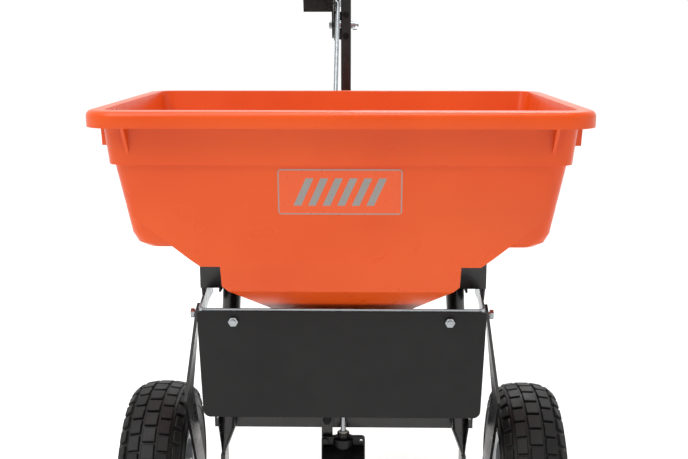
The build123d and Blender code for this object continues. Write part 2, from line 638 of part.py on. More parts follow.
base = base - block((upright_x - half_post - 0.1, upright_x + half_post + 0.1),
    (pivot_y - half_post - 0.1, pivot_y + half_post + 0.1), (260, 270))
for side in (-1, 1):
    x = upright_x + side * (half_post + 1.65)
    cheek = [(pivot_y - 16, drawbar_top + 4), (pivot_y + 16, drawbar_top + 4),
        (pivot_y + 9, drawbar_top + 34), (pivot_y - 9, drawbar_top + 34)]
    base = base + plate_x((x - 1.5, x + 1.5), cheek)
base = drill(base, "Z", 3.4, (drawbar_top - 4, drawbar_top + 8), [(0, y) for y in base_bolt_ys])
save("post_base", drill(base, "X", 3.4, (-30, 30), [(pivot_y, drawbar_top + 24)]))

arm_x = (-31.5, -28.5)
quadrant_x = (-27.5, -24.5)
stop_radius = 64.0
stop_angle = 38.6


def around_pivot(x):
    """Drawing plane across X with its middle on the lever pivot: first way forward, second way up."""
    return Plane(origin=(x, pivot_y, pivot_z), x_dir=(0, 1, 0), z_dir=(1, 0, 0))


def quadrant():
    """Quadrant plate beside the post, with a window for the rod and an arc slot for the flow stop."""
    thick = quadrant_x[1] - quadrant_x[0]
    outline = [(-12, -30), (14, -30), (30, 10), (60, 44), (40, 74), (-14, 78), (-34, 60), (-34, 24)]
    face = make_face(Polyline(*outline, close=True))
    face = fillet(face.vertices(), 7)
    face = face - Circle(4.1) - Pos(0,
        lever_rod_radius * math.cos(lean)) * SlotCenterToCenter(gate_travel + 4, 12)
    face = face - SlotArc(CenterArc((0, 0), stop_radius, 90 - stop_angle - 2, 44), 6.8)
    body = extrude(around_pivot(quadrant_x[0]) * face, thick)
    flange = block((quadrant_x[0], upright_x + half_post),
        (pivot_y + half_post, pivot_y + half_post + 3), (pivot_z - 28, pivot_z + 24))
    return drill(body + flange, "Y", 3.4, (pivot_y + 5, pivot_y + 20),
        [(upright_x, 757), (upright_x, 796)])


save("control_quadrant", quadrant())


def control_arm():
    """Bent flat lever: slotted lower bar, sideways flange and upper bar; made upright, then leaned back."""
    thick = arm_x[1] - arm_x[0]
    face = Pos(0, 17) * RectangleRounded(20, 88, 9) - Circle(4.06)
    face = face - Pos(0, 42.7) * Rot(0, 0, 90) * SlotCenterToCenter(5.0, 10.2)
    body = extrude(Plane(origin=(arm_x[0], 0, 0), x_dir=(0, 1, 0), z_dir=(1, 0, 0)) * face, thick)
    body = body + block((-84, arm_x[0] + 1), (-13, -10), (32, 60)) + block((arm_x[0], arm_x[1]),
        (-13, -5), (32, 60))
    body = body + block((-84, -81), (-13, 7), (32, 188))
    return Pos(0, pivot_y, pivot_z) * Rot(lever_tilt, 0, 0) * body


save("control_arm", control_arm())
grip = fillet(block((-88.5, -76.5), (-16, 10), (112, 206)).edges().filter_by(Axis.Z), 5)
grip = fillet(grip.edges().group_by(Axis.Z)[-1], 3)
grip = grip - block((-84, -81), (-13, 7), (100, 188))
save("lever_grip", Pos(0, pivot_y, pivot_z) * Rot(lever_tilt, 0, 0) * grip)

pivot_at = (pivot_y, pivot_z)
pivot_bolt = rod("X", 4.0, (-31.8, 19), pivot_at) + hexagon("X", 13, (-37, -31.8), pivot_at)
pivot_spacer = ring("X", 8, 4.1, (quadrant_x[1], upright_x - half_post), pivot_at)


def wing_nut(radius, depth=11.0):
    """Wing nut along +X from the origin; its depth runs to the tips of its wings."""
    body = Rot(0, 90, 0) * Pos(0, 0, depth / 2 - 1.5) * Cylinder(radius + 3.6, depth - 3)
    for side in (-1, 1):
        body = body + Pos(depth - 4, side * 11, 0) * Box(8, 13, 2.6)
    return body - Rot(0, 90, 0) * Cylinder(radius + 0.03, 60)


pivot_nut = Pos(upright_x + half_post + 0.1, *pivot_at) * Rot(30, 0, 0) * wing_nut(4.0)
save("lever_pivot", [pivot_bolt, pivot_spacer, pivot_nut])
stop_at = (pivot_y + stop_radius * math.sin(math.radians(stop_angle)),
    pivot_z + stop_radius * math.cos(math.radians(stop_angle)))
stop = rod("X", 3.1, (-36, -15.5), stop_at) + rod("X", 7, (quadrant_x[0] - 3.3, quadrant_x[0] - 0.3),
    stop_at)
save("flow_stop", [stop, Pos(quadrant_x[1] + 0.3, *stop_at) * Rot(70, 0, 0) * wing_nut(3.1, 8.8)])

# ---- wheels -------------------------------------------------------------------------------------
tyre_outer = [(29, 53), (33, 60), (41, 74), (45, 92), (44, 108), (38, 122), (30, 130)]
tyre_inner = [(28, 121), (36, 106), (37, 92), (33, 76), (26, 62), (21, 58), (21, 53)]
drive_bolt_offset = 31.0
rim_bolt_radius = 32.0
rim_bolt_places = [(axle_y + rim_bolt_radius * math.cos(turn),
    axle_z + rim_bolt_radius * math.sin(turn)) for turn in (0.785, 2.356, 3.927, 5.498)]


def tyre():
    """Pneumatic tyre, open at its beads."""
    outer = tyre_outer + [(0, tyre_radius)] + [(-t, r) for t, r in reversed(tyre_outer)]
    inner = [(-t, r) for t, r in reversed(tyre_inner)] + [(0, tyre_radius - 10)] + tyre_inner
    return turned(outer + inner, wheel_x)


def rim_half(side):
    """Pressed half of the rim: disc, barrel, bead seat and rolled edge."""
    line = Polyline((1.3, 20), (1.3, 43), (5, 50), (32, 50.6), (35, 58), (38.5, 60))
    body = Part() + revolve(trace(line, 2.5), Axis.X, 360)
    body = body if side > 0 else mirrored(body)
    body = Pos(wheel_x, axle_y, axle_z) * body
    return drill(body, "X", 3.4, (wheel_x - 10, wheel_x + 10), rim_bolt_places)


def wheel_hub():
    """Hub tube welded through the rim discs."""
    body = ring("X", 19.9, 11.0, (wheel_x - 38, wheel_x + 38), (axle_y, axle_z))
    return body + (ring("X", 25, 19, (wheel_x + 2.6, wheel_x + 5.0), (axle_y, axle_z)))


def wheel_bush(side):
    """Flanged bush in one end of a wheel hub."""
    body = ring("X", 10.95, axle_radius + 0.06, tuple(sorted((wheel_x + side * 16,
        wheel_x + side * 38))), (axle_y, axle_z))
    return body + ring("X", 17, axle_radius + 0.06, tuple(sorted((wheel_x + side * 38,
        wheel_x + side * 41))), (axle_y, axle_z))


wheel_bolts = []
for place in rim_bolt_places:
    wheel_bolts.extend(bolt_and_nut("X", place, (wheel_x - 2.6, wheel_x + 2.6), flip=True))
drive_place = (wheel_x + drive_bolt_offset, axle_y)
wheel_pieces = {
    "tyre": [tyre()],
    "rim_halves": [rim_half(-1), rim_half(1)],
    "hub": [wheel_hub()],
    "hub_bushes": [wheel_bush(-1), wheel_bush(1)],
    "rim_bolts": wheel_bolts,
}
for name, pieces in wheel_pieces.items():
    save(f"left_{name}", [mirrored(piece) for piece in pieces])
    if name in ("hub", "hub_bushes"):
        pieces = [piece - rod("Z", 3.3, (axle_z - 30, axle_z + 30), drive_place) for piece in pieces]
    save(f"right_{name}", pieces)
save("drive_bolt", bolt_and_nut("Z", drive_place, (axle_z - 20, axle_z + 20), radius=3.1))


def axle_end(side):
    """Washers each side of a wheel and the cotter pin at the axle's end."""
    low = (wheel_x - 44.0, wheel_x - 41.4)
    high = (wheel_x + 41.4, wheel_x + 43.6)
    pieces = [ring("X", 14, axle_radius, low, (axle_y, axle_z)),
        ring("X", 14, axle_radius, high, (axle_y, axle_z))]
    cotter = rod("Z", 2.0, (axle_z - 14, axle_z + 11), (309, axle_y)) + rod("X", 4.5, (307, 311),
        (axle_y, axle_z + 13))
    pieces.append(cotter - rod("X", 2.4, (300, 320), (axle_y, axle_z + 13)))
    return pieces if side > 0 else [mirrored(piece) for piece in pieces]


right_end, left_end = axle_end(1), axle_end(-1)
save("axle_washers", right_end[:2] + left_end[:2] + [axle_collar, mirrored(axle_collar)])
save("cotter_pins", [right_end[2], left_end[2]])

# ---- fasteners, grouped by what they hold -------------------------------------------------------
hopper_bolts, frame_bolts, strap_bolts = [], [], []
for place in rail_bolt_places:
    hopper_bolts.extend(bolt_and_nut("Z", place, (shelf_z - sheet, shelf_z + wall), flip=True))
for side in (-1, 1):
    lug = sorted((side * (leg_x(432) - 13.8), side * (leg_x(432) + 16.6)))
    frame_bolts.extend(bolt_and_nut("X", (axle_y, 432), lug, flip=side > 0))
    tab = sorted((side * 190, side * 196))
    frame_bolts.extend(bolt_and_nut("X", (axle_y + 104, 466), tab, flip=side > 0))
    strap_bolts.extend(bolt_and_nut("X", (axle_y + 33, 410), tab, flip=side > 0))
    arm = sorted((side * 181.6, side * 192.3))
    strap_bolts.extend(bolt_and_nut("X", (shield_y + 24, 406), arm, flip=side > 0))
save("hopper_fasteners", hopper_bolts + rivets)
save("frame_bolts", frame_bolts)
shield_bolts = []
for place in shield_bolt_places:
    shield_bolts.extend(bolt_and_nut("Y", place, (shield_y - sheet, shield_y + sheet), flip=True))
save("shield_bolts", shield_bolts + strap_bolts)
drawbar_bolts = bolt_and_nut("Y", (-23.5, 214), (axle_y + 4, member_back + sheet))
for y in frame_bolt_ys:
    drawbar_bolts.extend(bolt_and_nut("Z", (0, y), (drawbar_low - sheet, drawbar_top), flip=True))
for y in hitch_bolt_ys:
    drawbar_bolts.extend(bolt_and_nut("Z", (0, y), (drawbar_low - 6, drawbar_top + 6), flip=True))
for y in stand_bolt_ys:
    drawbar_bolts.extend(bolt_and_nut("Z", (0, y), (drawbar_low - sheet, drawbar_top), flip=True))
for y in base_bolt_ys:
    drawbar_bolts.extend(bolt_and_nut("Z", (0, y), (drawbar_low, drawbar_top + 4), flip=True))
post_bolts = bolt_and_nut("X", (pivot_y, drawbar_top + 24),
    (upright_x - half_post - 3.2, upright_x + half_post + 3.2))
for z in (757, 796):
    post_bolts.extend(bolt_and_nut("Y", (upright_x, z), (pivot_y - half_post, pivot_y + half_post + 3)))
save("drawbar_bolts", drawbar_bolts + post_bolts + [stand_bolt, stand_nut])

whole = Compound(children=[body.moved(Location()) for body in saved.values()])
box = whole.bounding_box()
print(len(saved), "nodes; low", box.min, "high", box.max)
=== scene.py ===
import bmesh
import bpy
import math
from mathutils import Matrix, Vector


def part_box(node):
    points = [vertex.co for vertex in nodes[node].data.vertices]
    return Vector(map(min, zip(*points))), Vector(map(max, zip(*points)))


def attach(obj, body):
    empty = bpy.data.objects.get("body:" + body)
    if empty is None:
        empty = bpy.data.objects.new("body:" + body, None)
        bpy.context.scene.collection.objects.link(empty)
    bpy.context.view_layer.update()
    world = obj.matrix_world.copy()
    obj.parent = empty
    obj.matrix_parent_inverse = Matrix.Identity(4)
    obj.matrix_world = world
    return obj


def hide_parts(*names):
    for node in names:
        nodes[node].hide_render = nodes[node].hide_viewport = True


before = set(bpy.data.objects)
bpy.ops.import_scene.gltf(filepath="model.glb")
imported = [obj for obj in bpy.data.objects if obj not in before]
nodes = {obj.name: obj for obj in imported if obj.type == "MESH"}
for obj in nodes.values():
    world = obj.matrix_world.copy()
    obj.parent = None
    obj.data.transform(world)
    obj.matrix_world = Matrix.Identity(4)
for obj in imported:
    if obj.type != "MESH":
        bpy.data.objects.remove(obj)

bpy.ops.object.select_all(action="DESELECT")
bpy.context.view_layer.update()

# ---- studio -------------------------------------------------------------------------------------
# A pale paper floor under a pale surround, brighter beyond the spreader than in front of it. A wide
# soft sky light does most of the work, with a key, a fill, a rim and a top box to draw the edges.


def linear(hex_colour):
    """An sRGB hex colour as the linear colour that shaders use."""
    parts = [int(hex_colour[i:i + 2], 16) / 255 for i in (1, 3, 5)]
    return (*[v / 12.92 if v <= 0.04045 else ((v + 0.055) / 1.055) ** 2.4 for v in parts], 1.0)


def add(tree, kind, inputs=None, stops=None, **settings):
    """Adds one node with its settings, its values and links, and for a ramp its colours by place."""
    made = tree.nodes.new(kind)
    for name, value in settings.items():
        setattr(made, name, value)
    for socket, value in (inputs or {}).items():
        if isinstance(value, bpy.types.NodeSocket):
            tree.links.new(value, made.inputs[socket])
        else:
            made.inputs[socket].default_value = value
    if stops:
        for element, (position, colour) in zip(made.color_ramp.elements, stops.items()):
            element.position = position
            element.color = linear(colour)
    return made


def finish(name, **sockets):
    """A new material: returns it with its tree, its shader and the piece's own coordinates."""
    material = bpy.data.materials.new(name)
    material.use_nodes = True
    tree = material.node_tree
    tree.nodes.clear()
    values = {socket.replace("_", " "): value for socket, value in sockets.items()}
    shader = add(tree, "ShaderNodeBsdfPrincipled", values)
    add(tree, "ShaderNodeOutputMaterial", {"Surface": shader.outputs["BSDF"]})
    return material, tree, shader, add(tree, "ShaderNodeTexCoord").outputs["Object"]


def dress(material, *pieces):
    """Gives pieces, or CAD nodes by name, one material."""
    for piece in pieces:
        piece = nodes[piece] if isinstance(piece, str) else piece
        piece.data.materials.clear()
        piece.data.materials.append(material)


def soft_light(name, place, aim, size, power):
    """Square soft box aimed at a point."""
    data = bpy.data.lights.new(name, "AREA")
    data.size = size
    data.energy = power
    light = bpy.data.objects.new(name, data)
    light.location = place
    light.rotation_euler = (Vector(aim) - Vector(place)).to_track_quat("-Z", "Y").to_euler()
    bpy.context.collection.objects.link(light)


hopper_low, hopper_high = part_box("hopper")
hopper_middle_y = (hopper_low[1] + hopper_high[1]) / 2
camera_back, camera_aside, camera_height = 1.261, 0.024, 0.767
camera_tilt, camera_turn = math.radians(90 - 11.71), math.radians(1.01)
camera_data = bpy.data.cameras.new("camera")
camera_data.lens = 50.23
camera_data.sensor_width = 36.0
camera = bpy.data.objects.new("camera", camera_data)
camera.location = (camera_aside, hopper_middle_y - camera_back, camera_height)
camera.rotation_euler = (camera_tilt, 0.0, camera_turn)
bpy.context.collection.objects.link(camera)
bpy.context.scene.camera = camera

# Seamless background paper: matt, nearly white.
bpy.ops.mesh.primitive_plane_add(size=30.0, location=(0.0, 0.0, 0.0))
floor = bpy.context.object
floor.name = "studio_floor"
paper = finish("seamless_paper", Base_Color=linear("#F6F6F5"), Roughness=0.9)[0]
dress(paper, floor)

surround = bpy.data.worlds.new("surround")
surround.use_nodes = True
sky_tree = surround.node_tree
background = sky_tree.nodes["Background"]
background.inputs["Color"].default_value = linear("#FFFFFF")
where = add(sky_tree, "ShaderNodeTexCoord").outputs["Generated"]
forward = add(sky_tree, "ShaderNodeSeparateXYZ", {"Vector": where}).outputs["Y"]
brightness = {"Value": forward, "From Min": -0.5, "From Max": 0.7, "To Min": 0.5, "To Max": 1.02}
backdrop = add(sky_tree, "ShaderNodeMapRange", brightness, interpolation_type="SMOOTHSTEP")
sky_tree.links.new(backdrop.outputs["Result"], background.inputs["Strength"])
bpy.context.scene.world = surround
bpy.context.scene.view_settings.view_transform = "Standard"
bpy.context.scene.view_settings.look = "None"

soft_light("key", (-1.5, -2.2, 2.6), (0, -0.3, 0.45), 1.0, 26)
soft_light("fill", (2.4, -1.6, 1.4), (0, -0.3, 0.4), 1.2, 4)
soft_light("rim", (0.5, 1.6, 2.4), (0, -0.4, 0.6), 1.2, 22)
soft_light("top", (0.1, -0.9, 2.3), (0, -0.45, 0.6), 0.7, 6)
sky_data = bpy.data.lights.new("sky", "SUN")
sky_data.energy = 1.45
sky_data.angle = math.radians(50)
sky = bpy.data.objects.new("sky", sky_data)
sky.rotation_euler = (math.radians(12), math.radians(-10), 0.0)
bpy.context.collection.objects.link(sky)

# ---- hopper -------------------------------------------------------------------------------------
# Rotationally moulded polyethylene tub. The mould gives every edge a radius, and the skin is very
# slightly wavy, with a soft broad shine.
hopper_edge = 0.0022
hopper_steps = 3
merge_gap = 0.00002

# Noise seldom leaves this stretch, so every colour and gloss here is spread over it.
noise_low, noise_high = 0.3, 0.7
noise_span = {"From Min": noise_low, "From Max": noise_high}


def choose(*pieces):
    """Selects just these pieces, so that an operator works on nothing else; the first is active."""
    bpy.ops.object.select_all(action="DESELECT")
    for piece in pieces:
        piece.select_set(True)
    bpy.context.view_layer.objects.active = pieces[0]


def round_edges(piece, width, steps, sharpest=None):
    """Rounds a piece's edges, or only those that turn by more than an angle."""
    bevel = piece.modifiers.new("edge", "BEVEL")
    bevel.width = width
    bevel.segments = steps
    if sharpest is not None:
        bevel.limit_method = "ANGLE"
        bevel.angle_limit = math.radians(sharpest)
    choose(piece)
    bpy.ops.object.modifier_apply(modifier=bevel.name)


def settle(piece, name, body):
    """Puts a finished piece's place in its mesh, names it and ties it to its body."""
    choose(piece)
    bpy.ops.object.transform_apply(location=True, rotation=True, scale=True)
    piece.name = name
    piece.data.name = name
    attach(piece, body)


hopper = nodes["hopper"].copy()
hopper.data = nodes["hopper"].data.copy()
bpy.context.collection.objects.link(hopper)
hopper.parent = None
hopper.matrix_world = Matrix.Identity(4)
choose(hopper)
bpy.ops.object.mode_set(mode="EDIT")
bpy.ops.mesh.select_all(action="SELECT")
bpy.ops.mesh.remove_doubles(threshold=merge_gap)
bpy.ops.mesh.dissolve_limited(angle_limit=math.radians(1.5))
bpy.ops.object.mode_set(mode="OBJECT")
round_edges(hopper, hopper_edge, hopper_steps, sharpest=28)
bpy.ops.object.shade_smooth_by_angle(angle=math.radians(40))
settle(hopper, "hopper_moulding", "frame")
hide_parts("hopper")

# Orange polyethylene, IOR 1.5: a medium gloss that varies a little, and a trace of light passing into
# the surface. Colour drifts over 160 mm, the wall is wavy over 70 mm and its grain is 2.2 mm.
orange_poly, tree, shader, place = finish(
    "orange_polyethylene", IOR=1.5, Specular_IOR_Level=0.32,
    Subsurface_Weight=0.05, Subsurface_Radius=(0.006, 0.002, 0.001))
drift = add(tree, "ShaderNodeTexNoise",
    {"Vector": place, "Scale": 1000 / 160, "Detail": 2.0, "Roughness": 0.55})
colour = add(tree, "ShaderNodeValToRGB", {"Fac": drift.outputs["Fac"]},
    stops={noise_low: "#D64A0C", noise_high: "#DF5414"})
patches = add(tree, "ShaderNodeTexNoise",
    {"Vector": place, "Scale": 1000 / 40, "Detail": 1.0, "Roughness": 0.55})
gloss = add(tree, "ShaderNodeMapRange",
    {"Value": patches.outputs["Fac"], **noise_span, "To Min": 0.27, "To Max": 0.34})
waves = add(tree, "ShaderNodeTexNoise",
    {"Vector": place, "Scale": 1000 / 70, "Detail": 1.0, "Roughness": 0.55})
wavy = add(tree, "ShaderNodeBump",
    {"Height": waves.outputs["Fac"], "Distance": 0.0012, "Strength": 0.35})
grain = add(tree, "ShaderNodeTexNoise",
    {"Vector": place, "Scale": 1000 / 2.2, "Detail": 2.0, "Roughness": 0.55})
skin = add(tree, "ShaderNodeBump",
    {"Height": grain.outputs["Fac"], "Distance": 0.00002, "Strength": 0.4, "Normal": wavy.outputs["Normal"]})
tree.links.new(colour.outputs["Color"], shader.inputs["Base Color"])
tree.links.new(gloss.outputs["Result"], shader.inputs["Roughness"])
tree.links.new(skin.outputs["Normal"], shader.inputs["Normal"])
dress(orange_poly, hopper)

# ---- label --------------------------------------------------------------------------------------
# Printed film on the rear of the funnel: a silver-grey frame line and slanted strokes on orange, a
# plain mark of no make. Its corners are round and it lies on the wall.
label_wide, label_high, label_thick, label_corner = 0.146, 0.056, 0.0006, 0.006
wall_run, wall_rise = 16.5, 114.0
label_lean = math.atan2(wall_run, wall_rise)
label_z = 0.5835
label_from_middle = 0.1621
label_y = hopper_middle_y - label_from_middle
border_near, border_far = 0.0008, 0.0022
stroke_pitch, stroke_half, stroke_slant = 0.017, 0.0045, 0.45
strokes_reach, strokes_rise = 0.051, 0.0165
ink_metal = 0.45

bpy.ops.mesh.primitive_cube_add(size=1.0, location=(0, 0, 0))
label = bpy.context.object
label.data.transform(Matrix.Diagonal((label_wide, label_thick, label_high, 1.0)))
bpy.ops.object.mode_set(mode="EDIT")
shape = bmesh.from_edit_mesh(label.data)
for edge in shape.edges:
    edge.select_set(abs(edge.verts[0].co.y - edge.verts[1].co.y) > label_thick / 2)
bmesh.update_edit_mesh(label.data)
bpy.ops.mesh.bevel(offset=label_corner, segments=6, affect="EDGES")
bpy.ops.object.mode_set(mode="OBJECT")
label.data.transform(Matrix.Translation((0, label_y, label_z)) @ Matrix.Rotation(label_lean, 4, "X"))
settle(label, "hopper_label", "frame")

# Polyester film, satin, with the print as colour only. The masks are worked out step by step from
# distances to the label's middle, and a name in a step is an earlier result.
film, tree, shader, place = finish("printed_polyester_film")
middle = add(tree, "ShaderNodeVectorMath", {0: place, 1: (0.0, 0.0, label_z)}, operation="SUBTRACT")
axes = add(tree, "ShaderNodeSeparateXYZ", {"Vector": middle.outputs[0]})
masks = {"x": axes.outputs["X"], "z": axes.outputs["Z"]}
mask_steps = [
    ("across", "ABSOLUTE", "x"),
    ("upward", "ABSOLUTE", "z"),
    ("beyond_side", "SUBTRACT", "across", label_wide / 2),
    ("beyond_top", "SUBTRACT", "upward", label_high / 2),
    ("beyond", "MAXIMUM", "beyond_side", "beyond_top"),
    ("from_edge", "MULTIPLY", "beyond", -1.0),
    ("past_gap", "GREATER_THAN", "from_edge", border_near),
    ("before_field", "LESS_THAN", "from_edge", border_far),
    ("border", "MULTIPLY", "past_gap", "before_field"),
    ("lean", "MULTIPLY", "z", stroke_slant),
    ("slanted", "SUBTRACT", "x", "lean"),
    ("folded", "PINGPONG", "slanted", stroke_pitch),
    ("offset", "SUBTRACT", "folded", stroke_pitch / 2),
    ("from_middle", "ABSOLUTE", "offset"),
    ("stripe", "LESS_THAN", "from_middle", stroke_half),
    ("after_first", "GREATER_THAN", "slanted", -strokes_reach),
    ("before_last", "LESS_THAN", "slanted", strokes_reach),
    ("in_row", "MULTIPLY", "after_first", "before_last"),
    ("row", "MULTIPLY", "stripe", "in_row"),
    ("in_height", "LESS_THAN", "upward", strokes_rise),
    ("strokes", "MULTIPLY", "row", "in_height"),
    ("ink", "MAXIMUM", "border", "strokes"),
    ("silver", "MULTIPLY", "ink", ink_metal)]
for name, operation, *terms in mask_steps:
    sockets = {index: masks.get(term, term) for index, term in enumerate(terms)}
    masks[name] = add(tree, "ShaderNodeMath", sockets, operation=operation).outputs[0]
inks = add(tree, "ShaderNodeMix", {0: masks["ink"], 6: linear("#DE5212"), 7: linear("#8C8985")},
    data_type="RGBA")
smears = add(tree, "ShaderNodeTexNoise",
    {"Vector": place, "Scale": 1000 / 6, "Detail": 3.0, "Roughness": 0.55})
gloss = add(tree, "ShaderNodeMapRange",
    {"Value": smears.outputs["Fac"], **noise_span, "To Min": 0.26, "To Max": 0.4})
tree.links.new(inks.outputs[2], shader.inputs["Base Color"])
tree.links.new(masks["silver"], shader.inputs["Metallic"])
tree.links.new(gloss.outputs["Result"], shader.inputs["Roughness"])
dress(film, label)

# ---- black frame --------------------------------------------------------------------------------
# Tubes, folded sheet and flat bars of mild steel: rails, legs, braces, drawbar, hitch, stand, post
# and lever. They are bolted together after coating.
frame_nodes = [
    "right_rail", "left_rail", "right_leg", "left_leg", "upper_cross_brace", "cross_member",
    "frame_gusset", "gearbox_hanger", "right_brace", "left_brace", "drawbar", "hitch_clevis",
    "stand_bracket", "parking_stand", "control_post", "post_base", "control_quadrant", "control_arm"]

# Gloss black powder coat: a smooth clear-topped film with orange peel about 1.4 mm across, dulled in
# patches about 28 mm across by handling.
black_coat, tree, shader, place = finish("black_powder_coat", Coat_Weight=0.25, Coat_Roughness=0.16)
dulling = add(tree, "ShaderNodeTexNoise",
    {"Vector": place, "Scale": 1000 / 28, "Detail": 5.0, "Roughness": 0.55})
colour = add(tree, "ShaderNodeValToRGB", {"Fac": dulling.outputs["Fac"]},
    stops={noise_low: "#050505", noise_high: "#0B0B0B"})
gloss = add(tree, "ShaderNodeMapRange",
    {"Value": dulling.outputs["Fac"], **noise_span, "To Min": 0.22, "To Max": 0.38})
peel = add(tree, "ShaderNodeTexNoise",
    {"Vector": place, "Scale": 1000 / 1.4, "Detail": 1.5, "Roughness": 0.55})
skin = add(tree, "ShaderNodeBump", {"Height": peel.outputs["Fac"], "Distance": 0.00006, "Strength": 0.5})
tree.links.new(colour.outputs["Color"], shader.inputs["Base Color"])
tree.links.new(gloss.outputs["Result"], shader.inputs["Roughness"])
tree.links.new(skin.outputs["Normal"], shader.inputs["Normal"])
dress(black_coat, *frame_nodes)

# ---- deflector and tube caps --------------------------------------------------------------------
# The plate behind the impeller is cut from sheet and bolted to its strap; the caps are pressed into
# the tubes. Both are black polyethylene.

# Black high density polyethylene: a satin face with a leathery grain of cells about 1.6 mm across.
black_sheet, tree, shader, place = finish("grained_black_polyethylene", Specular_IOR_Level=0.22)
drift = add(tree, "ShaderNodeTexNoise",
    {"Vector": place, "Scale": 1000 / 120, "Detail": 3.0, "Roughness": 0.55})
colour = add(tree, "ShaderNodeValToRGB", {"Fac": drift.outputs["Fac"]},
    stops={noise_low: "#191919", noise_high: "#1F1F1F"})
patches = add(tree, "ShaderNodeTexNoise",
    {"Vector": place, "Scale": 1000 / 45, "Detail": 3.0, "Roughness": 0.55})
gloss = add(tree, "ShaderNodeMapRange",
    {"Value": patches.outputs["Fac"], **noise_span, "To Min": 0.38, "To Max": 0.5})
cells = add(tree, "ShaderNodeTexVoronoi", {"Vector": place, "Scale": 1000 / 1.613})
skin = add(tree, "ShaderNodeBump",
    {"Height": cells.outputs["Distance"], "Distance": 0.00012, "Strength": 0.45})
tree.links.new(colour.outputs["Color"], shader.inputs["Base Color"])
tree.links.new(gloss.outputs["Result"], shader.inputs["Roughness"])
tree.links.new(skin.outputs["Normal"], shader.inputs["Normal"])
dress(black_sheet, "shield", "tube_caps")

# ---- zinc plated pieces -------------------------------------------------------------------------
# Strap, rod, shaft, gate, pins and most of the fasteners are cold rolled or drawn steel, plated after
# they are made.
zinc_nodes = [
    "shield_strap", "hitch_pin", "hair_pin", "lever_pivot", "hopper_fasteners", "frame_bolts",
    "shield_bolts", "axle_washers", "cotter_pins", "drive_bolt", "left_rim_bolts", "right_rim_bolts",
    "control_rod", "flow_stop", "flow_gate", "gate_guides", "impeller_shaft", "shaft_pins"]

# Bright zinc plate: a bluish metal film, clouded in patches about 14 mm across.
zinc, tree, shader, place = finish("bright_zinc_plate", Metallic=1.0)
cloud = add(tree, "ShaderNodeTexNoise",
    {"Vector": place, "Scale": 1000 / 14, "Detail": 5.0, "Roughness": 0.55})
colour = add(tree, "ShaderNodeValToRGB", {"Fac": cloud.outputs["Fac"]},
    stops={noise_low: "#8B9094", noise_high: "#ADB1B4"})
gloss = add(tree, "ShaderNodeMapRange",
    {"Value": cloud.outputs["Fac"], **noise_span, "To Min": 0.2, "To Max": 0.38})
crystals = add(tree, "ShaderNodeTexNoise",
    {"Vector": place, "Scale": 1000 / 0.9, "Detail": 2.0, "Roughness": 0.55})
skin = add(tree, "ShaderNodeBump",
    {"Height": crystals.outputs["Fac"], "Distance": 0.00003, "Strength": 0.5})
tree.links.new(colour.outputs["Color"], shader.inputs["Base Color"])
tree.links.new(gloss.outputs["Result"], shader.inputs["Roughness"])
tree.links.new(skin.outputs["Normal"], shader.inputs["Normal"])
dress(zinc, *zinc_nodes)

# ---- gearbox ------------------------------------------------------------------------------------
# Two halves die cast in aluminium and bolted face to face round the bevel gears. The closed box is
# painted black, bolts and all.

# Painted aluminium casting: the sandy skin of the metal, 0.8 mm across, shows through thin satin
# paint that varies over 22 mm.
painted_casting, tree, shader, place = finish("black_painted_casting", Specular_IOR_Level=0.4)
flow = add(tree, "ShaderNodeTexNoise",
    {"Vector": place, "Scale": 1000 / 22, "Detail": 6.0, "Roughness": 0.65})
colour = add(tree, "ShaderNodeValToRGB", {"Fac": flow.outputs["Fac"]},
    stops={noise_low: "#0A0A0A", noise_high: "#141414"})
gloss = add(tree, "ShaderNodeMapRange",
    {"Value": flow.outputs["Fac"], **noise_span, "To Min": 0.36, "To Max": 0.54})
sand = add(tree, "ShaderNodeTexNoise",
    {"Vector": place, "Scale": 1000 / 0.8, "Detail": 5.0, "Roughness": 0.55})
skin = add(tree, "ShaderNodeBump", {"Height": sand.outputs["Fac"], "Distance": 0.00012, "Strength": 0.7})
tree.links.new(colour.outputs["Color"], shader.inputs["Base Color"])
tree.links.new(gloss.outputs["Result"], shader.inputs["Roughness"])
tree.links.new(skin.outputs["Normal"], shader.inputs["Normal"])
dress(painted_casting, "gearbox_rear", "gearbox_front", "gearbox_bolts")

# ---- drawbar bolts ------------------------------------------------------------------------------
# Steel hex bolts and nuts that hold the drawbar, the stand and the post. They are blackened in a hot
# bath instead of being plated.

# Black oxide over steel, lightly oiled: a dark satin metal, worn in patches about 7 mm across.
black_oxide, tree, shader, place = finish("black_oxide_steel", Metallic=0.85)
wear = add(tree, "ShaderNodeTexNoise",
    {"Vector": place, "Scale": 1000 / 7, "Detail": 5.0, "Roughness": 0.55})
colour = add(tree, "ShaderNodeValToRGB", {"Fac": wear.outputs["Fac"]},
    stops={noise_low: "#151517", noise_high: "#242426"})
gloss = add(tree, "ShaderNodeMapRange",
    {"Value": wear.outputs["Fac"], **noise_span, "To Min": 0.34, "To Max": 0.5})
etch = add(tree, "ShaderNodeTexNoise",
    {"Vector": place, "Scale": 1000 / 0.6, "Detail": 3.0, "Roughness": 0.55})
skin = add(tree, "ShaderNodeBump", {"Height": etch.outputs["Fac"], "Distance": 0.00003, "Strength": 0.5})
tree.links.new(colour.outputs["Color"], shader.inputs["Base Color"])
tree.links.new(gloss.outputs["Result"], shader.inputs["Roughness"])
tree.links.new(skin.outputs["Normal"], shader.inputs["Normal"])
dress(black_oxide, "drawbar_bolts")

# ---- axle and gears -----------------------------------------------------------------------------
# The axle is drawn round bar, and the bevel gear and its pinion are machined from bar. All three are
# steel, left bare and oiled.

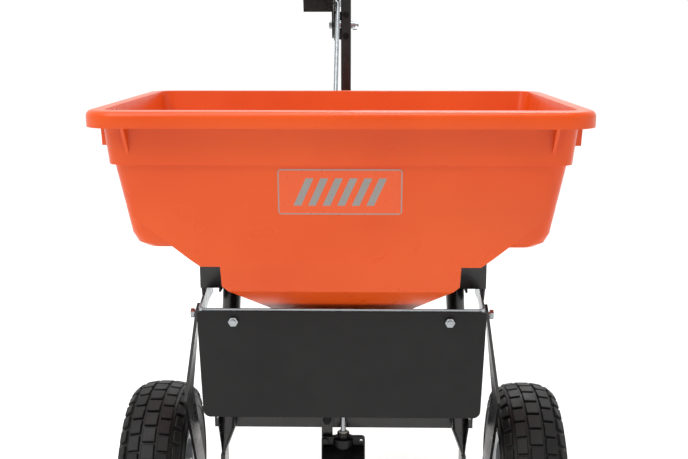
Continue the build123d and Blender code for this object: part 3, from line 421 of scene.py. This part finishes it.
# Bare steel: fine turning lines, about 1.1 mm apart and 71 mm long, run across the axle's length.
drawn_steel, tree, shader, place = finish("cold_drawn_steel", Metallic=1.0)
turning = add(tree, "ShaderNodeMapping",
    {"Vector": place, "Scale": (1000 / 1.111, 1000 / 71.43, 1000 / 71.43)})
lines = add(tree, "ShaderNodeTexNoise",
    {"Vector": turning.outputs["Vector"], "Scale": 1.0, "Detail": 3.0})
colour = add(tree, "ShaderNodeValToRGB", {"Fac": lines.outputs["Fac"]},
    stops={noise_low: "#7C7F82", noise_high: "#9C9FA1"})
gloss = add(tree, "ShaderNodeMapRange",
    {"Value": lines.outputs["Fac"], **noise_span, "To Min": 0.28, "To Max": 0.44})
skin = add(tree, "ShaderNodeBump", {"Height": lines.outputs["Fac"], "Distance": 0.00003, "Strength": 0.5})
tree.links.new(colour.outputs["Color"], shader.inputs["Base Color"])
tree.links.new(gloss.outputs["Result"], shader.inputs["Roughness"])
tree.links.new(skin.outputs["Normal"], shader.inputs["Normal"])
dress(drawn_steel, "axle", "bevel_gear", "bevel_pinion")

# ---- bushes -------------------------------------------------------------------------------------
# Plain bearing bushes for the axle, the wheel hubs and the upright shaft. They are injection moulded
# in nylon and pressed into their seats.

# Natural nylon 66, IOR 1.53: milky off-white with a soft sheen and light passing just under the skin.
nylon, tree, shader, place = finish(
    "natural_nylon", Roughness=0.38, IOR=1.53,
    Subsurface_Weight=0.25, Subsurface_Radius=(0.003, 0.0025, 0.002))
milk = add(tree, "ShaderNodeTexNoise",
    {"Vector": place, "Scale": 1000 / 12, "Detail": 3.0, "Roughness": 0.55})
colour = add(tree, "ShaderNodeValToRGB", {"Fac": milk.outputs["Fac"]},
    stops={noise_low: "#D3CEC0", noise_high: "#E1DED4"})
grain = add(tree, "ShaderNodeTexNoise",
    {"Vector": place, "Scale": 1000 / 0.7, "Detail": 3.0, "Roughness": 0.55})
skin = add(tree, "ShaderNodeBump", {"Height": grain.outputs["Fac"], "Distance": 0.00003, "Strength": 0.4})
tree.links.new(colour.outputs["Color"], shader.inputs["Base Color"])
tree.links.new(skin.outputs["Normal"], shader.inputs["Normal"])
dress(nylon, "axle_bushes", "gearbox_bushes", "hopper_shaft_bush", "left_hub_bushes", "right_hub_bushes")

# ---- impeller and agitator ----------------------------------------------------------------------
# The bladed disc that throws the granules and the finger that stirs them, both moulded and pinned to
# the shaft.

# Black polypropylene, matted in patches about 30 mm across by the granules.
spinner_poly, tree, shader, place = finish("black_polypropylene")
drift = add(tree, "ShaderNodeTexNoise",
    {"Vector": place, "Scale": 1000 / 50, "Detail": 3.0, "Roughness": 0.55})
colour = add(tree, "ShaderNodeValToRGB", {"Fac": drift.outputs["Fac"]},
    stops={noise_low: "#131313", noise_high: "#1D1D1C"})
scuffs = add(tree, "ShaderNodeTexNoise",
    {"Vector": place, "Scale": 1000 / 30, "Detail": 5.0, "Roughness": 0.55})
gloss = add(tree, "ShaderNodeMapRange",
    {"Value": scuffs.outputs["Fac"], **noise_span, "To Min": 0.4, "To Max": 0.6})
grain = add(tree, "ShaderNodeTexNoise",
    {"Vector": place, "Scale": 1000 / 1.1, "Detail": 3.0, "Roughness": 0.55})
skin = add(tree, "ShaderNodeBump", {"Height": grain.outputs["Fac"], "Distance": 0.00005, "Strength": 0.5})
tree.links.new(colour.outputs["Color"], shader.inputs["Base Color"])
tree.links.new(gloss.outputs["Result"], shader.inputs["Roughness"])
tree.links.new(skin.outputs["Normal"], shader.inputs["Normal"])
dress(spinner_poly, "impeller", "agitator")

# ---- rims and hubs ------------------------------------------------------------------------------
# Each rim is two pressed steel halves, bolted together round their tyre, with a steel hub tube welded
# through them. Halves and hubs are enamelled in silver.

# Silver stoving enamel: a metallic paint under clear gloss, with orange peel about 1.3 mm across.
rim_enamel, tree, shader, place = finish(
    "silver_stoving_enamel", Roughness=0.34, Metallic=0.6, Coat_Weight=0.3)
flakes = add(tree, "ShaderNodeTexNoise",
    {"Vector": place, "Scale": 1000 / 40, "Detail": 3.0, "Roughness": 0.55})
colour = add(tree, "ShaderNodeValToRGB", {"Fac": flakes.outputs["Fac"]},
    stops={noise_low: "#ABAEB0", noise_high: "#BDBFC1"})
peel = add(tree, "ShaderNodeTexNoise",
    {"Vector": place, "Scale": 1000 / 1.3, "Detail": 3.0, "Roughness": 0.55})
skin = add(tree, "ShaderNodeBump", {"Height": peel.outputs["Fac"], "Distance": 0.00005, "Strength": 0.5})
tree.links.new(colour.outputs["Color"], shader.inputs["Base Color"])
tree.links.new(skin.outputs["Normal"], shader.inputs["Normal"])
dress(rim_enamel, "left_rim_halves", "right_rim_halves", "left_hub", "right_hub")

# ---- tyres --------------------------------------------------------------------------------------
# Pneumatic tyres, each moulded in rubber as one piece: a rounded carcass, ribs round its walls and
# five staggered rows of tread blocks. Sizes are in millimetres from the tyre's middle, and the mesh is
# made in metres.
tyre_low, tyre_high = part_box("right_tyre")
axle_low, axle_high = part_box("axle")
tyre_middle_x = (tyre_low[0] + tyre_high[0]) / 2
axle_y = (axle_low[1] + axle_high[1]) / 2
axle_z = tyre_high[2] / 2
mm = 0.001
crown_radius = 129.0
crown_flat = 8.0
shoulder_radius = 100.0
wall_steps = 144

# Half the carcass outside, from bead to crown, and half its air space, each as (offset, radius).
carcass_line = [
    (21, 53), (29, 52.6), (33, 60), (38.5, 67), (42.5, 77), (44.6, 90), (44.2, 102), (41.5, 112),
    (37.0, 119.5), (30.0, 124.6), (20.0, 127.7), (crown_flat, crown_radius)]
air_line = [(-21, 59), (-30, 63), (-37, 78), (-39, 92), (-36, 107), (-26, 118), (0, 121)]

# Ribs on the walls, as (radius, offset); tread rows, as (offset, width, length, stagger in pitches).
wall_ribs = [(70.0, 40.1), (97.5, 44.7), (109.5, 42.5)]
rib_radius = 1.1
tread_rows = [(0.0, 18.5, 21.8, 0.0), (19.0, 15.6, 21.8, 0.5), (34.4, 12.6, 18.0, 0.0)]
blocks_round = 34
block_height = 3.5
block_root = 2.0
block_taper = 0.93
block_edge = 0.9
block_drop = 0.02
slope_reach = 4.0


def spun_ring(points, name):
    """Closed outline of offsets and radii, spun once round the axle line."""
    bpy.ops.mesh.primitive_circle_add(vertices=len(points), radius=0.1, location=(0, 0, 0))
    ring = bpy.context.object
    ring.name = name
    for vertex, (offset, radius) in zip(ring.data.vertices, points):
        vertex.co = (offset * mm, 0.0, radius * mm)
    bpy.ops.object.mode_set(mode="EDIT")
    bpy.ops.mesh.select_all(action="SELECT")
    bpy.ops.mesh.spin(steps=wall_steps, angle=math.tau, center=(0, 0, 0), axis=(1, 0, 0))
    bpy.ops.mesh.select_all(action="SELECT")
    bpy.ops.mesh.remove_doubles(threshold=merge_gap)
    bpy.ops.mesh.normals_make_consistent(inside=False)
    bpy.ops.object.mode_set(mode="OBJECT")
    return ring


def carcass_radius(offset):
    """Radius of the carcass at an offset from the tyre's middle, above its shoulders."""
    line = [point for point in reversed(carcass_line) if point[1] > shoulder_radius]
    offset = abs(offset)
    for (x0, r0), (x1, r1) in zip(line, line[1:]):
        if x0 <= offset <= x1:
            return r0 + (r1 - r0) * (offset - x0) / (x1 - x0)
    return crown_radius


def tread_block(offset, width, length):
    """One raised block at the top of the tyre: a cube shaped to a tapered lug that follows the crown."""
    bpy.ops.mesh.primitive_cube_add(size=1.0, location=(0, 0, 0))
    block = bpy.context.object
    lift = block_height + block_root - abs(offset) * block_drop
    for vertex in block.data.vertices:
        taper = block_taper if vertex.co.z > 0 else 1.0
        x, y, z = vertex.co
        vertex.co = Vector((x * width * taper, y * length * taper, (z + 0.5) * lift)) * mm
    round_edges(block, block_edge * mm, 1)
    drop = carcass_radius(offset - slope_reach) - carcass_radius(offset + slope_reach)
    slope = math.atan2(drop, 2 * slope_reach)
    stand = Matrix.Translation((offset * mm, 0, (carcass_radius(offset) - block_root) * mm))
    block.data.transform(stand @ Matrix.Rotation(slope, 4, "Y"))
    return block


def twin(piece):
    """A copy of a piece with a mesh of its own."""
    copied = piece.copy()
    copied.data = piece.data.copy()
    bpy.context.collection.objects.link(copied)
    return copied


outside = carcass_line + [(-offset, radius) for offset, radius in reversed(carcass_line)]
inside = air_line + [(-offset, radius) for offset, radius in reversed(air_line[:-1])]
tyre_pieces = [spun_ring(outside + inside, "carcass")]
for side in (-1, 1):
    for radius, offset in wall_ribs:
        bpy.ops.mesh.primitive_torus_add(
            major_radius=radius * mm, minor_radius=rib_radius * mm,
            major_segments=wall_steps, minor_segments=8)
        rib = bpy.context.object
        outward = Matrix.Translation((side * offset * mm, 0, 0))
        rib.data.transform(outward @ Matrix.Rotation(math.pi / 2, 4, "Y"))
        tyre_pieces.append(rib)
for row_offset, width, length, stagger in tread_rows:
    for side in ((1,) if row_offset == 0 else (-1, 1)):
        first = tread_block(side * row_offset, width, length)
        row = [first] + [twin(first) for _ in range(blocks_round - 1)]
        for index, block in enumerate(row):
            turn = math.tau * (index + stagger) / blocks_round
            block.data.transform(Matrix.Rotation(turn, 4, "X"))
        tyre_pieces.extend(row)
choose(*tyre_pieces)
bpy.ops.object.join()
bpy.ops.object.shade_smooth_by_angle(angle=math.radians(38))
right_tyre = bpy.context.object
left_tyre = twin(right_tyre)
right_tyre.data.transform(Matrix.Translation((tyre_middle_x, axle_y, axle_z)))
turned_about = Matrix.Rotation(math.pi, 4, "Z")
left_tyre.data.transform(Matrix.Translation((-tyre_middle_x, axle_y, axle_z)) @ turned_about)
settle(right_tyre, "right_tyre_treaded", "drive_axle")
settle(left_tyre, "left_tyre_treaded", "left_wheel")
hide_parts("right_tyre")
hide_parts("left_tyre")

# Carbon-filled rubber: matt black, with a trace of dust in patches about 32 mm across and a mould
# grain of 1.2 mm.
rubber, tree, shader, place = finish("carbon_filled_rubber", Specular_IOR_Level=0.3)
dust = add(tree, "ShaderNodeTexNoise",
    {"Vector": place, "Scale": 1000 / 32, "Detail": 6.0, "Roughness": 0.65})
colour = add(tree, "ShaderNodeValToRGB", {"Fac": dust.outputs["Fac"]},
    stops={noise_low: "#0A0A0A", noise_high: "#161514"})
gloss = add(tree, "ShaderNodeMapRange",
    {"Value": dust.outputs["Fac"], **noise_span, "To Min": 0.42, "To Max": 0.64})
grain = add(tree, "ShaderNodeTexNoise",
    {"Vector": place, "Scale": 1000 / 1.2, "Detail": 4.0, "Roughness": 0.55})
skin = add(tree, "ShaderNodeBump", {"Height": grain.outputs["Fac"], "Distance": 0.00012, "Strength": 0.6})
tree.links.new(colour.outputs["Color"], shader.inputs["Base Color"])
tree.links.new(gloss.outputs["Result"], shader.inputs["Roughness"])
tree.links.new(skin.outputs["Normal"], shader.inputs["Normal"])
dress(rubber, right_tyre, left_tyre)

# ---- lever grip ---------------------------------------------------------------------------------
# A soft vinyl sleeve on the end of the lever. The warm end is dipped in liquid vinyl, which sets on
# it as one skin.

# Black vinyl: soft and slightly glossy, with a faint sheen and a skin uneven over 1.8 mm.
vinyl, tree, shader, place = finish("dipped_black_vinyl", Sheen_Weight=0.1)
drift = add(tree, "ShaderNodeTexNoise",
    {"Vector": place, "Scale": 1000 / 25, "Detail": 3.0, "Roughness": 0.55})
colour = add(tree, "ShaderNodeValToRGB", {"Fac": drift.outputs["Fac"]},
    stops={noise_low: "#0E0E0E", noise_high: "#181818"})
handling = add(tree, "ShaderNodeTexNoise",
    {"Vector": place, "Scale": 1000 / 18, "Detail": 3.0, "Roughness": 0.55})
gloss = add(tree, "ShaderNodeMapRange",
    {"Value": handling.outputs["Fac"], **noise_span, "To Min": 0.34, "To Max": 0.5})
dip = add(tree, "ShaderNodeTexNoise",
    {"Vector": place, "Scale": 1000 / 1.8, "Detail": 3.0, "Roughness": 0.55})
skin = add(tree, "ShaderNodeBump", {"Height": dip.outputs["Fac"], "Distance": 0.00008, "Strength": 0.5})
tree.links.new(colour.outputs["Color"], shader.inputs["Base Color"])
tree.links.new(gloss.outputs["Result"], shader.inputs["Roughness"])
tree.links.new(skin.outputs["Normal"], shader.inputs["Normal"])
dress(vinyl, "lever_grip")
